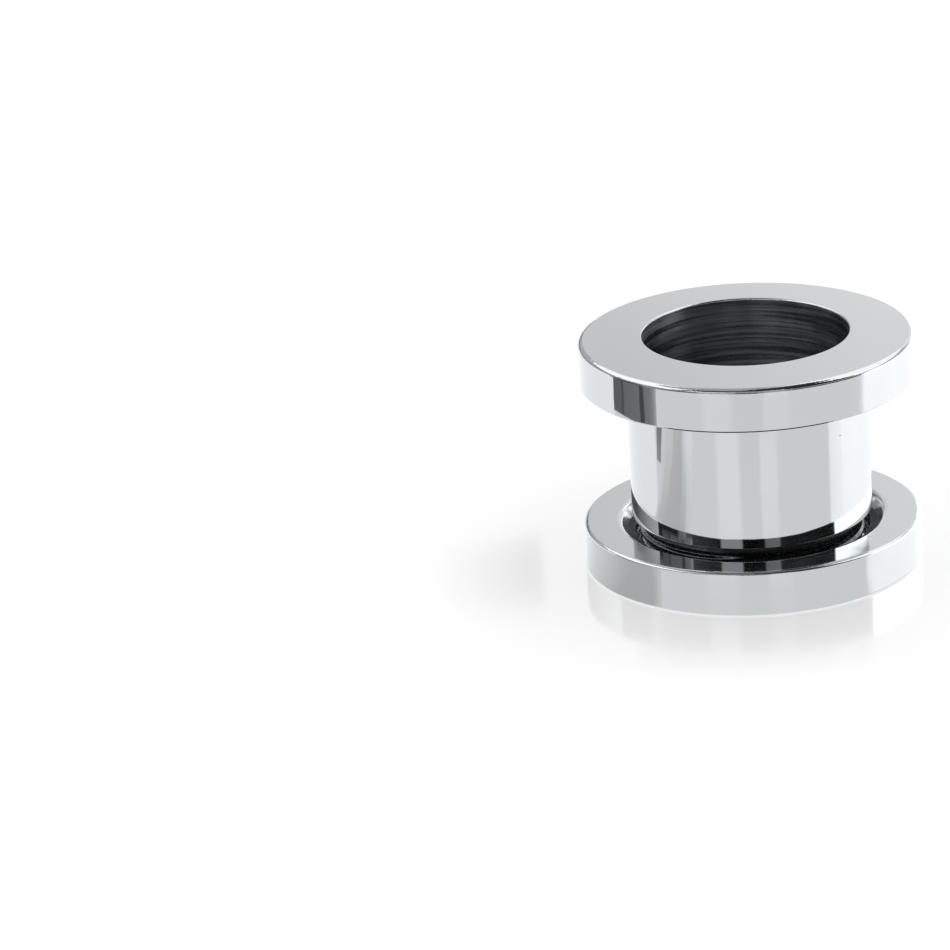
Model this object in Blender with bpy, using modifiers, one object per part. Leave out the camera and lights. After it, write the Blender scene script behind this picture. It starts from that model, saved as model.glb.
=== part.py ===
"""Screw-fit ear tunnel: a flanged tube with a threaded end, and the plate that screws onto it.

The tunnel stands on its plate. +Z is the axis of the tube, and the origin is the middle of the
plate's outer face. Sizes are in metres.
"""

import math

import bmesh
import bpy
from mathutils import Vector

MM = 0.001

# Driving dimensions: the gauge of the tube, the room for the ear and the two discs.
TUBE_DIAMETER = 10.0 * MM
BORE_DIAMETER = 8.54 * MM
WEARABLE_LENGTH = 6.0 * MM
FLANGE_DIAMETER = 13.84 * MM
PLATE_DIAMETER = 14.0 * MM
DISC_THICKNESS = 1.85 * MM

# The front disc: its face is buffed, so it stands highest at the bore and falls off at the rim.
FACE_CROWN = 0.12 * MM
FLANGE_TOP_ROUND = 0.20 * MM
FLANGE_UNDER_ROUND = 0.07 * MM
BORE_EDGE_ROUND = 0.08 * MM
FLANGE_FILLET = 0.12 * MM

# The plate: edges, the countersunk recess round the tube and the mouth of the hole.
PLATE_TOP_ROUND = 0.13 * MM
PLATE_UNDER_ROUND = 0.08 * MM
RECESS_DIAMETER = 11.0 * MM
RECESS_DEPTH = 0.50 * MM
RECESS_EDGE_ROUND = 0.12 * MM
RECESS_SLOPE = math.radians(48.0)
HOLE_MOUTH = 0.12 * MM

# The screw joint. The crests of the two threads pass each other with a running clearance.
SHOULDER_LIFT = 0.31 * MM
SHOULDER_BEVEL = 0.37 * MM
TUBE_END_HEIGHT = 0.55 * MM
TUBE_END_BEVEL = 0.08 * MM
THREAD_PITCH = 0.40 * MM
THREAD_RISE = 0.15 * MM
THREAD_ROOT_SINK = 0.04 * MM
THREAD_CREST_WIDTH = 0.05 * MM
MALE_ROOT_DIAMETER = 9.06 * MM
CREST_CLEARANCE = 0.07 * MM
MALE_TURNS = 1.75
FEMALE_TURNS = 2.0

# How finely round shapes are divided.
STEPS = 64
FINE_ARC = 4
COARSE_ARC = 3
SHARP_ANGLE = math.radians(35.0)
MERGE_DISTANCE = 0.000001

PLATE_RADIUS = PLATE_DIAMETER / 2
FLANGE_RADIUS = FLANGE_DIAMETER / 2
TUBE_RADIUS = TUBE_DIAMETER / 2
BORE_RADIUS = BORE_DIAMETER / 2
RECESS_RADIUS = RECESS_DIAMETER / 2
MALE_ROOT_RADIUS = MALE_ROOT_DIAMETER / 2
MALE_CREST_RADIUS = MALE_ROOT_RADIUS + THREAD_RISE
FEMALE_CREST_RADIUS = MALE_CREST_RADIUS + CREST_CLEARANCE
FEMALE_ROOT_RADIUS = FEMALE_CREST_RADIUS + THREAD_RISE

PLATE_TOP = DISC_THICKNESS
RECESS_FLOOR = PLATE_TOP - RECESS_DEPTH
FLANGE_UNDERSIDE = PLATE_TOP + WEARABLE_LENGTH
FLANGE_EDGE_TOP = FLANGE_UNDERSIDE + DISC_THICKNESS
FLANGE_FACE_TOP = FLANGE_EDGE_TOP + FACE_CROWN
SHOULDER_BOTTOM = PLATE_TOP + SHOULDER_LIFT
FEMALE_THREAD_START = HOLE_MOUTH + THREAD_PITCH / 2
MALE_THREAD_START = FEMALE_THREAD_START + 1.5 * THREAD_PITCH


def arc(centre, radius, start_deg, end_deg, pieces):
    """Points (radius, height) along an arc, both ends included."""
    points = []
    for index in range(pieces + 1):
        angle = math.radians(start_deg + (end_deg - start_deg) * index / pieces)
        points.append((centre[0] + radius * math.cos(angle), centre[1] + radius * math.sin(angle)))
    return points


def buffed_face(inner_radius, inner_height, outer_radius, outer_height, pieces):
    """Points from the bore's edge to the rim over a face that falls off as the square of the radius."""
    drop = (inner_height - outer_height) / (outer_radius ** 2 - inner_radius ** 2)
    points = []
    for index in range(pieces + 1):
        radius = inner_radius + (outer_radius - inner_radius) * index / pieces
        points.append((radius, inner_height - drop * (radius ** 2 - inner_radius ** 2)))
    return points


def flanged_tube_profile():
    """Half section of the flanged tube: over the face, down the outside and up the bore."""
    face = buffed_face(
        BORE_RADIUS + BORE_EDGE_ROUND, FLANGE_FACE_TOP,
        FLANGE_RADIUS - FLANGE_TOP_ROUND, FLANGE_EDGE_TOP, COARSE_ARC)
    rim_top = arc(
        (FLANGE_RADIUS - FLANGE_TOP_ROUND, FLANGE_EDGE_TOP - FLANGE_TOP_ROUND),
        FLANGE_TOP_ROUND, 90, 0, FINE_ARC)
    rim_under = arc(
        (FLANGE_RADIUS - FLANGE_UNDER_ROUND, FLANGE_UNDERSIDE + FLANGE_UNDER_ROUND),
        FLANGE_UNDER_ROUND, 0, -90, COARSE_ARC)
    fillet = arc(
        (TUBE_RADIUS + FLANGE_FILLET, FLANGE_UNDERSIDE - FLANGE_FILLET),
        FLANGE_FILLET, 90, 180, COARSE_ARC)
    shoulder = [
        (TUBE_RADIUS, SHOULDER_BOTTOM),
        (TUBE_RADIUS - SHOULDER_BEVEL, SHOULDER_BOTTOM - SHOULDER_BEVEL),
        (MALE_ROOT_RADIUS, SHOULDER_BOTTOM - SHOULDER_BEVEL),
    ]
    tube_end = [
        (MALE_ROOT_RADIUS, TUBE_END_HEIGHT + TUBE_END_BEVEL),
        (MALE_ROOT_RADIUS - TUBE_END_BEVEL, TUBE_END_HEIGHT),
        (BORE_RADIUS + TUBE_END_BEVEL, TUBE_END_HEIGHT),
        (BORE_RADIUS, TUBE_END_HEIGHT + TUBE_END_BEVEL),
    ]
    bore_edge = arc(
        (BORE_RADIUS + BORE_EDGE_ROUND, FLANGE_FACE_TOP - BORE_EDGE_ROUND),
        BORE_EDGE_ROUND, 180, 90, COARSE_ARC)
    return face[:-1] + rim_top + rim_under + fillet + shoulder + tube_end + bore_edge[:-1]


def screw_plate_profile():
    """Half section of the plate: out of the recess, over the inner face, down the rim and up the hole."""
    slope_degrees = math.degrees(RECESS_SLOPE)
    run = RECESS_DEPTH / math.tan(RECESS_SLOPE)
    floor_outer = RECESS_RADIUS - run
    tangent = RECESS_EDGE_ROUND * math.tan(RECESS_SLOPE / 2)
    recess_edge = arc(
        (RECESS_RADIUS + tangent, PLATE_TOP - RECESS_EDGE_ROUND),
        RECESS_EDGE_ROUND, 90 + slope_degrees, 90, COARSE_ARC)
    rim_top = arc(
        (PLATE_RADIUS - PLATE_TOP_ROUND, PLATE_TOP - PLATE_TOP_ROUND),
        PLATE_TOP_ROUND, 90, 0, FINE_ARC)
    rim_under = arc(
        (PLATE_RADIUS - PLATE_UNDER_ROUND, PLATE_UNDER_ROUND),
        PLATE_UNDER_ROUND, 0, -90, COARSE_ARC)
    hole = [
        (FEMALE_ROOT_RADIUS + HOLE_MOUTH, 0.0),
        (FEMALE_ROOT_RADIUS, HOLE_MOUTH),
        (FEMALE_ROOT_RADIUS, RECESS_FLOOR),
        (floor_outer, RECESS_FLOOR),
    ]
    return recess_edge + rim_top + rim_under + hole


def turned_object(name, profile, collection):
    """An object turned about Z from a closed half section that runs down its outer side."""
    mesh = bpy.data.meshes.new(name)
    vertices = [(radius, 0.0, height) for radius, height in profile]
    edges = [(index, (index + 1) % len(profile)) for index in range(len(profile))]
    mesh.from_pydata(vertices, edges, [])
    piece = bpy.data.objects.new(name, mesh)
    collection.objects.link(piece)
    screw = piece.modifiers.new("Turn", "SCREW")
    screw.axis = "Z"
    screw.steps = STEPS
    screw.render_steps = STEPS
    screw.use_merge_vertices = True
    screw.merge_threshold = MERGE_DISTANCE
    return piece


def thread_ridge(name, root_radius, outward, bottom, turns, collection):
    """One helical ridge with a blunt crest, standing out of a wall at root_radius by the thread's rise."""
    side = 1.0 if outward else -1.0
    half_base = THREAD_PITCH / 2 - THREAD_CREST_WIDTH
    half_crest = THREAD_CREST_WIDTH / 2
    inner = root_radius - side * THREAD_ROOT_SINK
    crest = root_radius + side * THREAD_RISE
    section = [(inner, -half_base), (crest, -half_crest), (crest, half_crest), (inner, half_base)]
    coil = bmesh.new()
    ring = [coil.verts.new((radius, 0.0, bottom + height)) for radius, height in section]
    bmesh.ops.spin(
        coil, geom=[coil.faces.new(ring)], cent=Vector(), axis=Vector((0.0, 0.0, 1.0)),
        dvec=Vector((0.0, 0.0, THREAD_PITCH / STEPS)), angle=math.tau * turns, steps=round(turns * STEPS))
    bmesh.ops.recalc_face_normals(coil, faces=coil.faces)
    mesh = bpy.data.meshes.new(name)
    coil.to_mesh(mesh)
    coil.free()
    ridge = bpy.data.objects.new(name, mesh)
    ridge.hide_render = True
    ridge.display_type = "WIRE"
    collection.objects.link(ridge)
    return ridge


def join_ridge(piece, ridge):
    """Makes the ridge one solid with the turned piece."""
    union = piece.modifiers.new("Thread", "BOOLEAN")
    union.operation = "UNION"
    union.object = ridge


def polished_steel(name, colour, roughness):
    """Bright stainless steel, with the colour and roughness of one piece."""
    material = bpy.data.materials.new(name)
    material.use_nodes = True
    shader = material.node_tree.nodes["Principled BSDF"]
    shader.inputs["Base Color"].default_value = (*colour, 1.0)
    shader.inputs["Metallic"].default_value = 1.0
    shader.inputs["Roughness"].default_value = roughness
    return material


def shade_round(piece):
    """Smooth shading with crisp edges where two turned faces meet at an angle."""
    piece.data.shade_smooth()
    piece.data.set_sharp_from_angle(angle=SHARP_ANGLE)


def flanged_tube(parts, cutters):
    piece = turned_object("flanged_tube", flanged_tube_profile(), parts)
    ridge = thread_ridge("male_thread", MALE_ROOT_RADIUS, True, MALE_THREAD_START, MALE_TURNS, cutters)
    join_ridge(piece, ridge)
    piece.data.materials.append(polished_steel("flanged_tube_steel", (0.78, 0.79, 0.80), 0.06))
    shade_round(piece)
    return piece


def screw_plate(parts, cutters):
    piece = turned_object("screw_plate", screw_plate_profile(), parts)
    ridge = thread_ridge(
        "female_thread", FEMALE_ROOT_RADIUS, False, FEMALE_THREAD_START, FEMALE_TURNS, cutters)
    join_ridge(piece, ridge)
    piece.data.materials.append(polished_steel("screw_plate_steel", (0.77, 0.78, 0.79), 0.07))
    shade_round(piece)
    return piece


def main():
    for old in list(bpy.data.objects):
        bpy.data.objects.remove(old, do_unlink=True)
    parts = bpy.data.collections.new("ear_tunnel")
    cutters = bpy.data.collections.new("thread_ridges")
    bpy.context.scene.collection.children.link(parts)
    bpy.context.scene.collection.children.link(cutters)
    flanged_tube(parts, cutters)
    screw_plate(parts, cutters)


main()
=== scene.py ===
"""Looks of a screw-fit ear tunnel in polished steel, standing on its screw plate on a glossy white floor."""

import math

import bpy
from mathutils import Matrix, Vector


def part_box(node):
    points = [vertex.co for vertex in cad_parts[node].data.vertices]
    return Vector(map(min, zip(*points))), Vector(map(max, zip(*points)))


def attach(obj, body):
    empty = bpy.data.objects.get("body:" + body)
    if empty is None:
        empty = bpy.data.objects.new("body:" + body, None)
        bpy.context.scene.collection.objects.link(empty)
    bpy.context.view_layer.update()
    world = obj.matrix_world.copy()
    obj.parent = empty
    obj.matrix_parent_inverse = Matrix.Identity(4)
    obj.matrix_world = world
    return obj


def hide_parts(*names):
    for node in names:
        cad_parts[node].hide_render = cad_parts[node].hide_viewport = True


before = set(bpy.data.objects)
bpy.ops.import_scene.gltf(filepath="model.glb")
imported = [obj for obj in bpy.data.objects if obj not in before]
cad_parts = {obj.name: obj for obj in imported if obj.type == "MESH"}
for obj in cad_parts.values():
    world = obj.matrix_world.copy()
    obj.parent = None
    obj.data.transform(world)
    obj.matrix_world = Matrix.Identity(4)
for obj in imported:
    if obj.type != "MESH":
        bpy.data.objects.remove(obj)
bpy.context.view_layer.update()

MM = 0.001

# Sizes of the turned pieces, as in the model they dress.
TUBE_RADIUS = 5.0 * MM
BORE_RADIUS = 4.27 * MM
FLANGE_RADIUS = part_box("flanged_tube")[1].x
PLATE_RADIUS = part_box("screw_plate")[1].x
PLATE_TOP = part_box("screw_plate")[1].z
FACE_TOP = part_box("flanged_tube")[1].z
TUBE_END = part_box("flanged_tube")[0].z
FACE_CROWN = 0.12 * MM
FLANGE_EDGE_TOP = FACE_TOP - FACE_CROWN
WEARABLE_LENGTH = 6.0 * MM
FLANGE_UNDERSIDE = PLATE_TOP + WEARABLE_LENGTH
FLANGE_TOP_ROUND = (0.26 * MM, 0.19 * MM)
FLANGE_UNDER_BEVEL = 0.07 * MM
FLANGE_FILLET = 0.12 * MM
BORE_EDGE_ROUND = 0.08 * MM
SHOULDER_GAP = 0.31 * MM
SHOULDER_BOTTOM = PLATE_TOP + SHOULDER_GAP
SHOULDER_BEVEL = 0.37 * MM
SHOULDER_EDGE_ROUND = 0.04 * MM
TUBE_END_BEVEL = 0.08 * MM
PLATE_TOP_ROUND = (0.20 * MM, 0.10 * MM)
PLATE_UNDER_ROUND = 0.08 * MM
RECESS_RADIUS = 5.48 * MM
RECESS_DEPTH = 0.50 * MM
RECESS_FLOOR = PLATE_TOP - RECESS_DEPTH
RECESS_EDGE_ROUND = 0.28 * MM
RECESS_SLOPE = math.radians(62.0)
HOLE_MOUTH = 0.12 * MM

# The threads: their pitch, the section of the ridges, the walls that they stand on, and for each ridge
# the height where it starts and its number of turns.
THREAD_PITCH = 0.40 * MM
THREAD_RISE = 0.15 * MM
THREAD_HALF_BASE = 0.15 * MM
THREAD_HALF_CREST = 0.025 * MM
MALE_ROOT = 4.53 * MM
FEMALE_ROOT = 4.90 * MM
FEMALE_THREAD = (HOLE_MOUTH + THREAD_PITCH / 2, 2.0)
MALE_LEAD_PITCHES = 1.2
MALE_THREAD = (FEMALE_THREAD[0] + MALE_LEAD_PITCHES * THREAD_PITCH, 1.75)
RUN_OUTS_PER_TURN = 12.0

# How finely the turned surfaces are divided.
COLUMNS = 288
ARC_PIECES = 8
SHORT_ARC_PIECES = 4
FACE_PIECES = 6
ROWS_PER_PITCH = 20

# The camera, by the place and size of the tunnel in a square frame of FRAME_PIXELS.
FRAME_PIXELS = 950
FOCAL_PIXELS = 5428.0
AIM_PIXEL = (749.56, 442.61)
AIM_HEIGHT = 4.94 * MM
CAMERA_DISTANCE = 225.2 * MM
CAMERA_ELEVATION = math.radians(19.90)
CAMERA_ROLL = math.radians(-2.21)
SENSOR_MM = 36.0
CAMERA_CLIP = (1 * MM, 20.0)

# The studio's floor: its size and light, its sheen and where that fades, and the floor that the steel
# mirrors, which is dimmed within the ring of BORE_FLOOR_EDGE as painted shade under the bore.
WHITE = (1.0, 1.0, 1.0, 1.0)
FLOOR_HALF = 3.0
FLOOR_DROP = 0.005 * MM
FLOOR_COLOUR = (0.8, 0.8, 0.8, 1.0)
FLOOR_OWN_GLOW = 0.45
SHEEN_SHARE = 0.20
SHEEN_ROUGHNESS = 0.10
SHEEN_INNER = 9.5 * MM
SHEEN_OUTER = 13.5 * MM
MIRRORED_ROUGHNESS = 0.14
MIRRORED_IOR = 1.6
MIRRORED_GLOW = 0.955
BORE_FLOOR_SHADE_GLOW = 0.06
BORE_FLOOR_EDGE = (4.9 * MM, 5.0 * MM)

# The studio's light: the world, which dims between two heights, the cards and the backdrop.
WORLD_GLOWS = (1.0, 0.5)
WORLD_DIMS = (0.42, 0.90)
CARD_STEP_DEG = 5.0
DOME_ROW_DEG = 15.0
DOME_RADIUS = 110.0 * MM
BACKDROP_DISTANCE = 60.0 * MM
BACKDROP_HEIGHTS = (14.0 * MM, 45.0 * MM)
BACKDROP_GLOWS = (
    (-60 * MM, 0.58), (-18 * MM, 0.58), (-15 * MM, 0.83), (-9 * MM, 0.83), (9 * MM, 0.99),
    (14 * MM, 0.99), (24 * MM, 1.15), (45 * MM, 1.15))


# Profiles. A run is a smooth stretch: its (radius, height) points, their normals and its material's slot.

def line(start, end, slot="polish"):
    """A straight run between two (radius, height) points. The outside lies to the left of its way."""
    along = Vector((end[0] - start[0], end[1] - start[1])).normalized()
    normal = (-along.y, along.x)
    return {"points": [start, end], "normals": [normal, normal], "slot": slot}


def arc(centre, radii, start_deg, end_deg, slot="polish", pieces=ARC_PIECES):
    """A round run about a (radius, height) centre, with its radii across and up.

    It is hollow where its angle grows."""
    hollow = -1.0 if end_deg > start_deg else 1.0
    points, normals = [], []
    for index in range(pieces + 1):
        angle = math.radians(start_deg + (end_deg - start_deg) * index / pieces)
        across, up = math.cos(angle), math.sin(angle)
        points.append((centre[0] + radii[0] * across, centre[1] + radii[1] * up))
        normals.append(tuple(hollow * Vector((radii[1] * across, radii[0] * up)).normalized()))
    return {"points": points, "normals": normals, "slot": slot}


def crowned_face(inner_radius, inner_height, outer_radius, outer_height, pieces=FACE_PIECES):
    """The buffed front face, which falls off as the square of the radius."""
    drop = (inner_height - outer_height) / (outer_radius ** 2 - inner_radius ** 2)
    points, normals = [], []
    for index in range(pieces + 1):
        radius = inner_radius + (outer_radius - inner_radius) * index / pieces
        points.append((radius, inner_height - drop * (radius ** 2 - inner_radius ** 2)))
        normals.append(tuple(Vector((2 * drop * radius, 1.0)).normalized()))
    return {"points": points, "normals": normals, "slot": "face"}


def between(first, second, slot="polish"):
    """The straight run from the end of one run to the start of the next."""
    return line(first["points"][-1], second["points"][0], slot)


def threaded(start, end, ridge, outward):
    """A wall that carries a helical ridge. Its rows are close, and its shading follows the ridge."""
    rows = round(abs(end[1] - start[1]) / THREAD_PITCH * ROWS_PER_PITCH)
    points = [(start[0], start[1] + (end[1] - start[1]) * index / rows) for index in range(rows + 1)]
    return {"points": points, "normals": None, "slot": "thread", "ridge": ridge, "outward": outward}


def flanged_tube_runs():
    across, down = FLANGE_TOP_ROUND
    face = crowned_face(BORE_RADIUS + BORE_EDGE_ROUND, FACE_TOP, FLANGE_RADIUS - across, FLANGE_EDGE_TOP)
    rim_top = arc(
        (FLANGE_RADIUS - across, FLANGE_EDGE_TOP - down), FLANGE_TOP_ROUND, 90, 0, "edge")
    rim_under = line(
        (FLANGE_RADIUS, FLANGE_UNDERSIDE + FLANGE_UNDER_BEVEL),
        (FLANGE_RADIUS - FLANGE_UNDER_BEVEL, FLANGE_UNDERSIDE))
    fillet = arc(
        (TUBE_RADIUS + FLANGE_FILLET, FLANGE_UNDERSIDE - FLANGE_FILLET), (FLANGE_FILLET,) * 2, 90, 180)
    shoulder_edge = arc(
        (TUBE_RADIUS - SHOULDER_EDGE_ROUND, SHOULDER_BOTTOM), (SHOULDER_EDGE_ROUND,) * 2, 0, -45,
        "edge", SHORT_ARC_PIECES)
    bevel_end = (TUBE_RADIUS - SHOULDER_BEVEL, SHOULDER_BOTTOM - SHOULDER_BEVEL)
    bevel = line(shoulder_edge["points"][-1], bevel_end, "bevel")
    # The step under the bevel is painted near black, as shade in the gap.
    step = line(bevel_end, (MALE_ROOT, bevel_end[1]), "painted_shade")
    thread = threaded(
        (MALE_ROOT, bevel_end[1]), (MALE_ROOT, TUBE_END + TUBE_END_BEVEL), MALE_THREAD, True)
    tip = line(thread["points"][-1], (MALE_ROOT - TUBE_END_BEVEL, TUBE_END), "turned")
    end = line(tip["points"][-1], (BORE_RADIUS + TUBE_END_BEVEL, TUBE_END), "turned")
    inner_tip = line(end["points"][-1], (BORE_RADIUS, TUBE_END + TUBE_END_BEVEL), "turned")
    bore_edge = arc(
        (BORE_RADIUS + BORE_EDGE_ROUND, FACE_TOP - BORE_EDGE_ROUND),
        (BORE_EDGE_ROUND,) * 2, 180, 90, "edge")
    bore = between(inner_tip, bore_edge, "bore")
    return [
        face, rim_top, between(rim_top, rim_under, "rim"), rim_under,
        between(rim_under, fillet), fillet, between(fillet, shoulder_edge, "rim"),
        shoulder_edge, bevel, step, thread, tip, end, inner_tip, bore, bore_edge]


def screw_plate_runs():
    slope = math.degrees(RECESS_SLOPE)
    floor_outer = (RECESS_RADIUS - (PLATE_TOP - RECESS_FLOOR) / math.tan(RECESS_SLOPE), RECESS_FLOOR)
    tangent = RECESS_EDGE_ROUND * math.tan(RECESS_SLOPE / 2)
    lip_centre = (RECESS_RADIUS + tangent, PLATE_TOP - RECESS_EDGE_ROUND)
    lip_radii = (RECESS_EDGE_ROUND,) * 2
    lip_under = arc(lip_centre, lip_radii, 90 + slope, 90 + slope / 2, "recess", SHORT_ARC_PIECES)
    recess_lip = arc(lip_centre, lip_radii, 90 + slope / 2, 90, "edge", SHORT_ARC_PIECES)
    across, down = PLATE_TOP_ROUND
    rim_top = arc((PLATE_RADIUS - across, PLATE_TOP - down), PLATE_TOP_ROUND, 90, 0, "edge")
    rim_under = arc(
        (PLATE_RADIUS - PLATE_UNDER_ROUND, PLATE_UNDER_ROUND), (PLATE_UNDER_ROUND,) * 2, 0, -90, "edge")
    mouth = line((FEMALE_ROOT + HOLE_MOUTH, 0.0), (FEMALE_ROOT, HOLE_MOUTH), "turned")
    thread = threaded((FEMALE_ROOT, HOLE_MOUTH), (FEMALE_ROOT, RECESS_FLOOR), FEMALE_THREAD, False)
    # The recess floor is painted near black, as shade round the hole.
    floor = line((FEMALE_ROOT, RECESS_FLOOR), floor_outer, "painted_shade")
    slope_run = between(floor, lip_under, "recess")
    return [
        lip_under, recess_lip, between(recess_lip, rim_top, "face"), rim_top,
        between(rim_top, rim_under, "rim"), rim_under, between(rim_under, mouth, "face"),
        mouth, thread, floor, slope_run]


# Turned surfaces.

def smooth_step(value):
    value = min(max(value, 0.0), 1.0)
    return value * value * (3.0 - 2.0 * value)


def ridge_rise(height, turn, ridge):
    """How far the helical ridge stands out at a height and a share of a turn."""
    start, turns = ridge
    rise = 0.0
    for lap in range(math.ceil(turns) + 1):
        along = lap + turn
        if along > turns:
            continue
        off = abs(height - start - THREAD_PITCH * along)
        flank = (THREAD_HALF_BASE - off) / (THREAD_HALF_BASE - THREAD_HALF_CREST)
        run_out = smooth_step(min(along, turns - along) * RUN_OUTS_PER_TURN)
        rise = max(rise, THREAD_RISE * smooth_step(flank) * run_out)
    return rise


def turned_mesh(name, runs, slots):
    """A closed mesh turned about Z. Corners between runs stay crisp, and each run is shaded as it curves."""
    rings, faces_of_run = [], []
    for run in runs:
        first = len(rings)
        count = len(run["points"]) - 1
        rings.extend((point, run) for point in run["points"][:-1])
        faces_of_run.append((first, count))
    total = len(rings)
    angles = [math.tau * column / COLUMNS for column in range(COLUMNS)]
    vertices = []
    for (radius, height), run in rings:
        for column, angle in enumerate(angles):
            wall = radius
            if run["slot"] == "thread":
                rise = ridge_rise(height, column / COLUMNS, run["ridge"])
                wall = radius + rise if run["outward"] else radius - rise
            vertices.append((wall * math.cos(angle), wall * math.sin(angle), height))
    faces, normals, material = [], [], []
    for run, (first, count) in zip(runs, faces_of_run):
        for index in range(count):
            low, high = (first + index) * COLUMNS, (first + index + 1) % total * COLUMNS
            for column in range(COLUMNS):
                after = (column + 1) % COLUMNS
                faces.append((low + column, high + column, high + after, low + after))
                material.append(slots.index(run["slot"]))
                for at, side in ((column, 0), (column, 1), (after, 1), (after, 0)):
                    if run["normals"] is None:
                        normals.append((0.0, 0.0, 0.0))
                        continue
                    across, up = run["normals"][index + side]
                    normals.append((across * math.cos(angles[at]), across * math.sin(angles[at]), up))
    mesh = bpy.data.meshes.new(name)
    mesh.from_pydata(vertices, [], faces)
    mesh.polygons.foreach_set("material_index", material)
    mesh.shade_smooth()
    mesh.normals_split_custom_set(normals)
    mesh.validate()
    return mesh


def turned_piece(name, runs, materials, body, node):
    """A piece that replaces one CAD node, rides on its body and takes its finish from its slot."""
    mesh = turned_mesh(name, runs, list(materials))
    for material in materials.values():
        mesh.materials.append(material)
    piece = bpy.data.objects.new(name, mesh)
    bpy.context.scene.collection.objects.link(piece)
    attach(piece, body)
    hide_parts(node)
    return piece


# Materials.

STEEL_COLOUR = (0.582, 0.600, 0.614, 1.0)
TURNED_COLOUR = (0.50, 0.52, 0.53, 1.0)
# Painted shade: the bore is darker than the steel, for the shade deep inside. Its rings are turning marks.
BORE_COLOUR = (0.18, 0.195, 0.205, 1.0)
BORE_RING_COLOUR = (0.37, 0.39, 0.405, 1.0)
RECESS_COLOUR = (0.57, 0.585, 0.60, 1.0)
# Painted shade: the bevel is darker than the steel, for the dark recess and gap that it mirrors.
BEVEL_COLOUR = (0.34, 0.35, 0.36, 1.0)
# Painted shade: near black, for the shaded gap at the step under the bevel and on the recess floor.
PAINTED_SHADE_COLOUR = (0.03, 0.032, 0.034, 1.0)
# Painted shade: threads darker than steel for the gap's shade; their steel-coloured streaks catch glints.
THREAD_COLOUR = (0.12, 0.125, 0.13, 1.0)
PIT_COLOUR = (0.12, 0.12, 0.12, 1.0)

# The widths of the marks on the steel. Streaks are stretched round the piece and squeezed along its axis.
RING_MARK_SIZE = 0.12 * MM
STREAK_SIZE = 2.4 * MM
STREAK_SQUEEZE = (0.4, 0.4, 20)
WAVE_SIZE = 1.3 * MM
NICK_SIZE = 0.16 * MM
PIT_SPACING = 1.5 * MM
HAZE_SIZE = 1.1 * MM


def node_material(name):
    """A new material, with its node tree and its shader."""
    material = bpy.data.materials.new(name)
    material.use_nodes = True
    tree = material.node_tree
    return material, tree, tree.nodes["Principled BSDF"]


def add(tree, kind, inputs=None, **settings):
    """A shader node with its settings, and with its inputs linked or set."""
    made = tree.nodes.new("ShaderNode" + kind)
    for name, value in settings.items():
        setattr(made, name, value)
    for socket, value in (inputs or {}).items():
        if isinstance(value, bpy.types.NodeSocket):
            tree.links.new(value, made.inputs[socket])
        else:
            made.inputs[socket].default_value = value
    return made


def noise(tree, vector, size, detail=2.0):
    """Noise whose largest features are about as wide as size."""
    return add(tree, "TexNoise", {"Vector": vector, "Scale": 1.0 / size, "Detail": detail}).outputs["Fac"]


def spread(tree, value, low, high, start=0.35, end=0.65):
    """The value's middle range, stretched from low to high."""
    return add(tree, "MapRange", {
        "Value": value, "From Min": start, "From Max": end, "To Min": low, "To Max": high}).outputs["Result"]


def times(tree, first, second):
    return add(tree, "Math", {0: first, 1: second}, operation="MULTIPLY").outputs["Value"]


def relief(tree, height, depth, under=None):
    """A bump of that depth in metres, over another bump."""
    inputs = {"Height": height, "Distance": depth}
    if under:
        inputs["Normal"] = under
    return add(tree, "Bump", inputs).outputs["Normal"]


def distance_from_axis(tree, place):
    across = add(tree, "VectorMath", {0: place, 1: (1, 1, 0)}, operation="MULTIPLY").outputs["Vector"]
    return add(tree, "VectorMath", {0: across}, operation="LENGTH").outputs["Value"]


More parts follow.
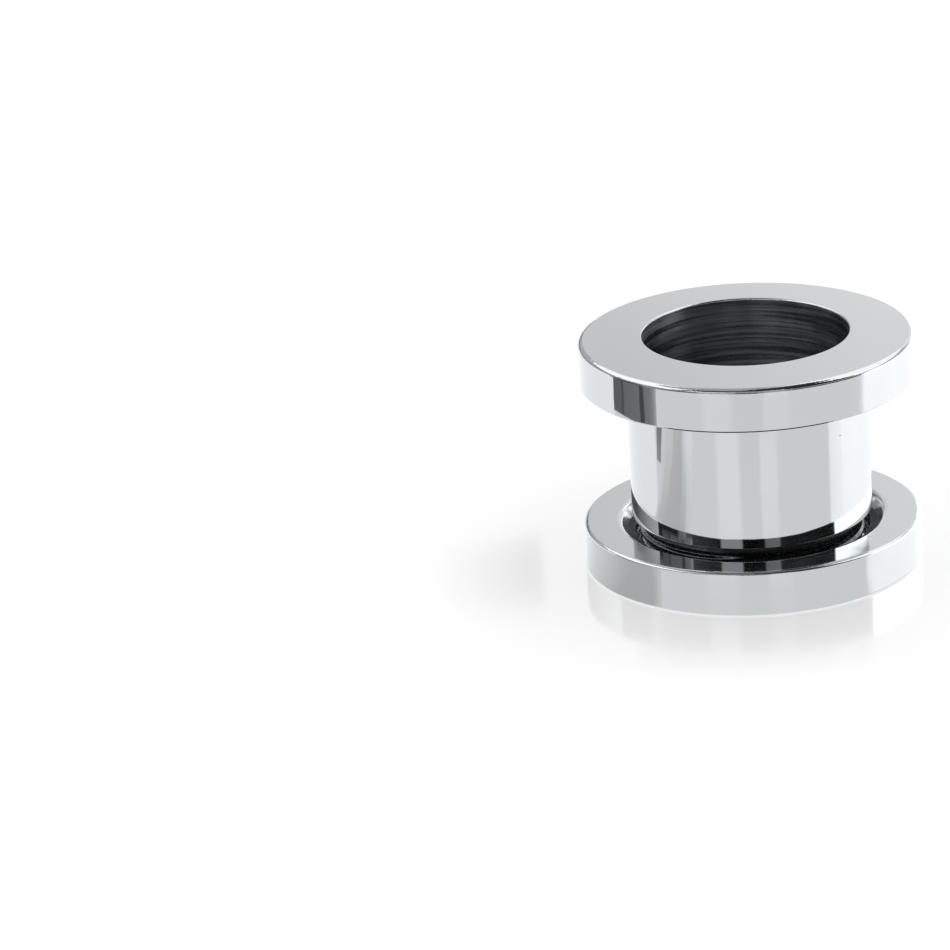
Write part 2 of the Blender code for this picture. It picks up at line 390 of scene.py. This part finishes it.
def steel(name, colour, roughness, wave=0.0, lathe=0.0, nicks=0.0, pits=0.0, drawn=0.0, streak_colour=None):
    """Steel turned on a lathe and then buffed. The reliefs are depths in metres.

    wave is the slow unevenness that buffing leaves, lathe the rings of the tool, nicks the small dents
    along an edge, and pits the few specks. drawn is how far the rings smear the gloss along the axis.
    Where it is given, streaks stand in for the rings. The last argument is the colour of lighter streaks
    over the base colour, which for the threads and the bore is painted darker than the steel as shade."""
    material, tree, shader = node_material(name)
    shader.inputs["Metallic"].default_value = 1.0
    place = add(tree, "TexCoord").outputs["Object"]
    height = add(tree, "SeparateXYZ", {"Vector": place}).outputs["Z"]
    rings = add(tree, "CombineXYZ", {"X": distance_from_axis(tree, place), "Z": height}).outputs["Vector"]
    ring_marks = noise(tree, rings, RING_MARK_SIZE, 4.0)
    squeezed = add(tree, "VectorMath", {0: place, 1: STREAK_SQUEEZE}, operation="MULTIPLY").outputs["Vector"]
    streaks = noise(tree, squeezed, STREAK_SIZE, 3.0)
    normal = None
    if wave:
        normal = relief(tree, noise(tree, place, WAVE_SIZE, 1.0), wave, normal)
    if lathe:
        normal = relief(tree, streaks if drawn else ring_marks, lathe, normal)
    if nicks:
        dents = spread(tree, noise(tree, place, NICK_SIZE, 3.0), 0.0, 1.0, 0.50, 0.72)
        normal = relief(tree, dents, nicks, normal)
    base = colour
    if pits:
        cells = add(tree, "TexVoronoi", {"Vector": place, "Scale": 1.0 / PIT_SPACING}).outputs["Distance"]
        pit = spread(tree, cells, 1.0, 0.0, 0.015, 0.035)
        normal = relief(tree, pit, -pits, normal)
        base = add(tree, "Mix", {0: pit, 6: colour, 7: PIT_COLOUR}, data_type="RGBA").outputs[2]
    if streak_colour:
        streak_colour_from = 0.40 if drawn else 0.52
        share = spread(tree, streaks, 0.0, 1.0, streak_colour_from, 0.62)
        base = add(tree, "Mix", {0: share, 6: colour, 7: streak_colour}, data_type="RGBA").outputs[2]
    if base is colour:
        shader.inputs["Base Color"].default_value = colour
    else:
        tree.links.new(base, shader.inputs["Base Color"])
    haze = spread(tree, noise(tree, place, HAZE_SIZE, 5.0), roughness * 0.8, roughness * 1.25, 0.2, 0.8)
    ringed = times(tree, haze, spread(tree, streaks if drawn else ring_marks, 0.75, 1.3, 0.25, 0.75))
    tree.links.new(ringed, shader.inputs["Roughness"])
    if drawn:
        shader.inputs["Anisotropic"].default_value = drawn
        round_axis = add(tree, "Tangent", direction_type="RADIAL", axis="Z").outputs["Tangent"]
        tree.links.new(round_axis, shader.inputs["Tangent"])
        shader.inputs["Anisotropic Rotation"].default_value = 0.25
    if normal:
        tree.links.new(normal, shader.inputs["Normal"])
    return material


def steel_materials(prefix):
    return {
        "polish": steel(prefix + "_polish", STEEL_COLOUR, 0.05, wave=8e-6, pits=4e-6),
        "face": steel(prefix + "_face", STEEL_COLOUR, 0.07, wave=2e-6, lathe=0.03e-6, pits=4e-6),
        "rim": steel(prefix + "_rim", STEEL_COLOUR, 0.035, wave=8e-6, pits=5e-6),
        "edge": steel(prefix + "_edge", STEEL_COLOUR, 0.06, wave=6e-6, nicks=2.5e-6),
        "turned": steel(prefix + "_turned", TURNED_COLOUR, 0.12, lathe=2e-6, nicks=1.5e-6),
        "recess": steel(prefix + "_recess", RECESS_COLOUR, 0.12),
        # The next four finishes are coloured darker than the steel, as painted shade.
        "bevel": steel(prefix + "_bevel", BEVEL_COLOUR, 0.30, lathe=0.3e-6),
        "painted_shade": steel(prefix + "_dull", PAINTED_SHADE_COLOUR, 0.50, lathe=1e-6),
        "thread": steel(prefix + "_thread", THREAD_COLOUR, 0.14, nicks=8e-6, streak_colour=STEEL_COLOUR),
        "bore": steel(
            prefix + "_bore", BORE_COLOUR, 0.29, lathe=0.5e-6, drawn=0.92, streak_colour=BORE_RING_COLOUR),
    }


# The studio. Azimuth 0 is on the camera's side, and grows to the right.

def stage_object(name, vertices, faces, material, **rays):
    mesh = bpy.data.meshes.new(name)
    mesh.from_pydata(vertices, [], faces)
    mesh.materials.append(material)
    made = bpy.data.objects.new(name, mesh)
    bpy.context.scene.collection.objects.link(made)
    for ray, seen in rays.items():
        setattr(made, "visible_" + ray, seen)
    return made


def only_mirrored(name, vertices, faces, material):
    """A stage object that shows in the steel alone."""
    return stage_object(name, vertices, faces, material,
                        camera=False, diffuse=False, shadow=False, transmission=False)


def square(half, height):
    corners = [(-half, -half, height), (half, -half, height), (half, half, height), (-half, half, height)]
    return corners, [(0, 1, 2, 3)]


def seen_floor():
    """The white floor that the camera sees: soft shade, and a sheen near the tunnel that fades outwards."""
    material, tree, shader = node_material("floor_white")
    shader.inputs["Base Color"].default_value = FLOOR_COLOUR
    shader.inputs["Roughness"].default_value = 1.0
    shader.inputs["Specular IOR Level"].default_value = 0.0
    shader.inputs["Emission Color"].default_value = WHITE
    shader.inputs["Emission Strength"].default_value = FLOOR_OWN_GLOW
    sheen = add(tree, "BsdfGlossy", {"Color": WHITE, "Roughness": SHEEN_ROUGHNESS})
    radius = distance_from_axis(tree, add(tree, "TexCoord").outputs["Object"])
    share = spread(tree, radius, SHEEN_SHARE, 0.0, SHEEN_INNER, SHEEN_OUTER)
    mixed = add(tree, "MixShader", {0: share, 1: shader.outputs["BSDF"], 2: sheen.outputs["BSDF"]})
    tree.links.new(mixed.outputs["Shader"], tree.nodes["Material Output"].inputs["Surface"])
    stage_object("floor", *square(FLOOR_HALF, -FLOOR_DROP), material, glossy=False)


def mirrored_floor():
    """The same floor as the steel mirrors it: evenly lit and glossy, with painted shade under the bore."""
    material, tree, shader = node_material("floor_mirrored")
    shader.inputs["Base Color"].default_value = (0.0, 0.0, 0.0, 1.0)
    shader.inputs["Roughness"].default_value = MIRRORED_ROUGHNESS
    shader.inputs["IOR"].default_value = MIRRORED_IOR
    shader.inputs["Emission Color"].default_value = WHITE
    radius = distance_from_axis(tree, add(tree, "TexCoord").outputs["Object"])
    glow = spread(tree, radius, BORE_FLOOR_SHADE_GLOW, MIRRORED_GLOW, *BORE_FLOOR_EDGE)
    tree.links.new(glow, shader.inputs["Emission Strength"])
    only_mirrored("floor_mirrored", *square(FLOOR_HALF, -2 * FLOOR_DROP), material)


def card_glow(name):
    """Light of the card's own glow, from its front alone."""
    material, tree, shader = node_material(name)
    tree.nodes.remove(shader)
    strength = add(tree, "Attribute", attribute_name="glow").outputs["Fac"]
    glow = add(tree, "Emission", {"Color": WHITE, "Strength": strength})
    clear = add(tree, "BsdfTransparent")
    back = add(tree, "NewGeometry").outputs["Backfacing"]
    front_only = add(tree, "MixShader", {0: back, 1: glow.outputs["Emission"], 2: clear.outputs["BSDF"]})
    tree.links.new(front_only.outputs["Shader"], tree.nodes["Material Output"].inputs["Surface"])
    return material


def glowing(made, glows):
    made.data.attributes.new("glow", "FLOAT", "POINT").data.foreach_set("value", glows)


def card(name, foot, top, knots):
    """A curved card between two (radius, height) rings, whose front faces the tunnel.

    Its glow runs evenly between knots of (azimuth, radiance). A knot of four has its own azimuth and
    radiance at the top."""
    knots = [knot if len(knot) == 4 else knot * 2 for knot in knots]
    columns = [knots[0]]
    for start, end in zip(knots, knots[1:]):
        steps = max(1, math.ceil((end[0] - start[0]) / CARD_STEP_DEG))
        columns.extend(
            tuple(low + (high - low) * step / steps for low, high in zip(start, end))
            for step in range(1, steps + 1))
    vertices, glows = [], []
    for column in columns:
        for (radius, height), azimuth, glow in ((foot, *column[:2]), (top, *column[2:])):
            angle = math.radians(azimuth)
            vertices.append((radius * math.sin(angle), -radius * math.cos(angle), height))
            glows.append(glow)
    faces = [(at, at + 1, at + 3, at + 2) for at in range(0, len(vertices) - 2, 2)]
    glowing(only_mirrored(name, vertices, faces, card_glow(name)), glows)


def dome_card(name, elevations, knots, radius=DOME_RADIUS):
    """A card on a wide dome, by the directions that it covers."""
    rows = max(1, math.ceil((elevations[1] - elevations[0]) / DOME_ROW_DEG))
    edges = []
    for step in range(rows + 1):
        angle = math.radians(elevations[0] + (elevations[1] - elevations[0]) * step / rows)
        edges.append((radius * math.cos(angle), radius * math.sin(angle)))
    for row in range(rows):
        card(f"{name}_{row}", edges[row], edges[row + 1], knots)


def backdrop():
    """A card behind, which the flat faces mirror. It is brighter on the right, and greyest on the left."""
    vertices = [
        (side, BACKDROP_DISTANCE, height) for side, _ in BACKDROP_GLOWS for height in BACKDROP_HEIGHTS]
    glows = [glow for _, glow in BACKDROP_GLOWS for _ in BACKDROP_HEIGHTS]
    faces = [(at + 2, at + 3, at + 1, at) for at in range(0, len(vertices) - 2, 2)]
    glowing(only_mirrored("backdrop", vertices, faces, card_glow("backdrop")), glows)


def studio_world():
    """Soft light from all round, which is dimmer overhead."""
    world = bpy.data.worlds.new("soft_white_studio")
    world.use_nodes = True
    tree = world.node_tree
    way = add(tree, "TexCoord").outputs["Generated"]
    up = add(tree, "SeparateXYZ", {"Vector": way}).outputs["Z"]
    glow = spread(tree, up, *WORLD_GLOWS, *WORLD_DIMS)
    tree.links.new(glow, tree.nodes["Background"].inputs["Strength"])
    tree.nodes["Background"].inputs["Color"].default_value = WHITE
    bpy.context.scene.world = world


def aimed_camera():
    """A camera that sees the tunnel's axis at AIM_PIXEL, from CAMERA_ELEVATION above the horizon."""
    middle = FRAME_PIXELS / 2
    to_pixel = Vector(((AIM_PIXEL[0] - middle) / FOCAL_PIXELS, (middle - AIM_PIXEL[1]) / FOCAL_PIXELS, -1.0))
    to_pixel.normalize()
    up_in_frame = (Vector((0, 1, 0)) - to_pixel * to_pixel.y).normalized()
    frame_axes = Matrix((to_pixel.cross(up_in_frame), up_in_frame, -to_pixel)).transposed()
    look = Vector((0, math.cos(CAMERA_ELEVATION), -math.sin(CAMERA_ELEVATION)))
    right = Matrix.Rotation(CAMERA_ROLL, 3, -look) @ Vector((1, 0, 0))
    up = right.cross(look)
    world_axes = Matrix((right, up, -look)).transposed()
    data = bpy.data.cameras.new("camera")
    data.sensor_width = SENSOR_MM
    data.lens = FOCAL_PIXELS * SENSOR_MM / FRAME_PIXELS
    data.clip_start, data.clip_end = CAMERA_CLIP
    camera = bpy.data.objects.new("camera", data)
    bpy.context.scene.collection.objects.link(camera)
    turn = world_axes @ frame_axes.transposed()
    place = Vector((0, 0, AIM_HEIGHT)) - look * CAMERA_DISTANCE
    camera.matrix_world = Matrix.Translation(place) @ turn.to_4x4()
    bpy.context.scene.camera = camera


bpy.context.scene.view_settings.view_transform = "Standard"
turned_piece("polished_flanged_tube", flanged_tube_runs(), steel_materials("tube"),
             "tunnel", "flanged_tube")
turned_piece("polished_screw_plate", screw_plate_runs(), steel_materials("plate"),
             "plate", "screw_plate")
aimed_camera()
studio_world()
backdrop()
seen_floor()
mirrored_floor()

# Strips of light and dark round the tunnel. The floor's gloss shows the low ones: in the disc, in the tube
# and in the plate. The plate's face shows the high ones.
RING = 35.0 * MM
DISC_RING, TUBE_RING, PLATE_RING, HIGH_RING, TOP_RING = (
    (RING, height) for height in (0.3 * MM, 3.5 * MM, 9.3 * MM, 11.5 * MM, 15.2 * MM))
LEFT_STRIPS = (
    (-163, 0.85), (-148, 1.1), (-125, 1.2), (-113, 1.33), (-101, 1.44), (-96, 1.44), (-94, 0.1),
    (-70, 0.1), (-68, 0.5), (-60, 0.5))
RIGHT_STRIPS = ((113, 3.1), (136, 2.4), (148, 1.84), (160, 1.1), (163, 1.1))
card("strips_disc", DISC_RING, TUBE_RING, (
    *LEFT_STRIPS, (-58, 0.15), (-30, 0.15), (-26, 0.55), (-13, 0.5), (-8, 0.0),
    (7.5, 0.0), (10, 0.5), (24, 0.45), (27, 0.18), (65, 0.15), (74, 0.3), (77, 1.6), (79, 3.1),
    *RIGHT_STRIPS))
card("strips_tube", TUBE_RING, PLATE_RING, (
    *LEFT_STRIPS, (-58, 0.15), (-32, 0.15), (-28, 0.95), (-12, 1.0), (-7.5, 0.0),
    (7, 0.0), (9.5, 0.9), (22, 0.85), (25, 0.15), (74, 0.15), (77, 2.0), (91, 2.6), (93, 3.1),
    *RIGHT_STRIPS))
card("strips_plate", PLATE_RING, HIGH_RING, (
    *LEFT_STRIPS, (-58, 0.2), (74.5, 0.2), (76.5, 3.0), *RIGHT_STRIPS))
card("strips_high", HIGH_RING, TOP_RING, (
    (-163, 0.15), (-138, 0.12), (-126, 0.32), (-112, 0.58), (-96, 0.85), (-95.5, 0.03),
    (-72, 0.01), (-70, 0.25), (-66, 0.3), (-64, 0.5), (-62, 0.12), (-56, 0.08), (-36, 0.03), (-29.5, 0.01),
    (-27.5, 0.5), (-11, 0.5), (-9, 0.0), (9.5, 0.0), (11, 0.26), (23, 0.3), (25, 0.02), (78.5, 0.01),
    (80, 2.8), (150, 2.8), (163, 1.5)))

# Grey shapes on the left: a dark one that stands close by and reaches lower at its end, a low streak, and
# the floor before them, on which a shadow is painted as the steel mirrors it.
NEAR = 14.0 * MM
DARK_TOP = (NEAR, 7.6 * MM)
DARK_LOW = (NEAR, 5.3 * MM)
DARK_FOOT = (NEAR, 5.04 * MM)
DARK_END_FOOT = (NEAR, 4.9 * MM)
DARK_KNOTS = (
    (-81.3, 0.17), (-75, 0.175), (-74.3, 0.12), (-73, 0.12), (-72.3, 0.21), (-61, 0.235), (-60.4, 0.09),
    (-58, 0.09))
card("dark_left", DARK_LOW, DARK_TOP, DARK_KNOTS)
card("dark_left_foot", DARK_FOOT, DARK_LOW, DARK_KNOTS)
card("dark_left_end", DARK_END_FOOT, DARK_TOP, (
    (-58, 0.09), (-57.3, 0.25), (-54, 0.28), (-52, 0.36), (-49.8, 0.6)))
card("dark_left_streak", (NEAR, 1.75 * MM), (NEAR, 3.6 * MM), (
    (-84.3, 0.42, -82.6, 0.31), (-79.3, 0.42, -76.0, 0.29)))
DIM_INNER, DIM_MIDDLE, DIM_OUTER = (
    (radius, 0.02 * MM) for radius in (7.05 * MM, 11.5 * MM, 24.0 * MM))
# Painted shadow: these cards glow dimmer than the mirrored floor where shade falls on the left.
card("dim_floor_near", DIM_INNER, DIM_MIDDLE, (
    (-100, 1.07, -111, 1.07), (-85, 0.95, -96, 0.95), (-70, 0.84, -81, 0.84), (-62, 0.76, -73, 0.72),
    (-56, 0.64, -65, 0.66), (-37, 0.64, -52, 0.66), (-35, 0.80, -48.5, 0.84), (-33, 0.95, -46.5, 0.95)))
card("dim_floor_far", DIM_MIDDLE, DIM_OUTER, (
    (-86, 0.95, -82, 0.95), (-82, 0.74, -77, 0.92), (-77, 0.70, -70, 0.90), (-74, 0.68, -68, 0.74),
    (-60, 0.66, -61, 0.72), (-55, 0.70, -59, 0.95), (-53, 0.86, -56, 1.10), (-50, 0.95, -51.5, 1.12),
    (-48, 0.97, -49, 0.97)))

# Soft boxes on both sides, and the dim side where the camera stands, with the lamps before it.
LAMP_RADIUS = 0.97 * DOME_RADIUS
BAND_RADIUS = 0.93 * DOME_RADIUS
dome_card("box_left", (33, 62), ((-165, 1.2), (-150, 1.6), (-52, 1.6)))
dome_card("dim_left", (2, 33), ((-165, 0.55), (-140, 0.4), (-125, 0.1), (-52, 0.1)))
dome_card("box_right", (33, 64), ((80, 1.6), (172, 1.5)))
dome_card("box_right_low", (2, 33), ((80, 1.6), (98, 1.5), (112, 0.7), (159, 0.7)))
dome_card("dim_front", (-2, 72), ((-52, 0.09), (4, 0.09), (14, 0.03), (80, 0.03)))
dome_card("dim_above", (64, 88), ((0, 0.06), (150, 0.06)))
dome_card("lamp_front", (34, 47), ((-9, 0.6), (11, 0.6)), LAMP_RADIUS)
dome_card("lamp_front_left", (5, 40), ((-42, 1.5), (-9, 1.2)), LAMP_RADIUS)
dome_card("lamp_front_right", (5, 46), ((11, 0.7), (27, 0.7)), LAMP_RADIUS)

# A narrow band of even light before them all. The flat faces mirror it when they are seen from other sides.
dome_card("band", (16, 28), ((-165, 0.55), (159, 0.55)), BAND_RADIUS)
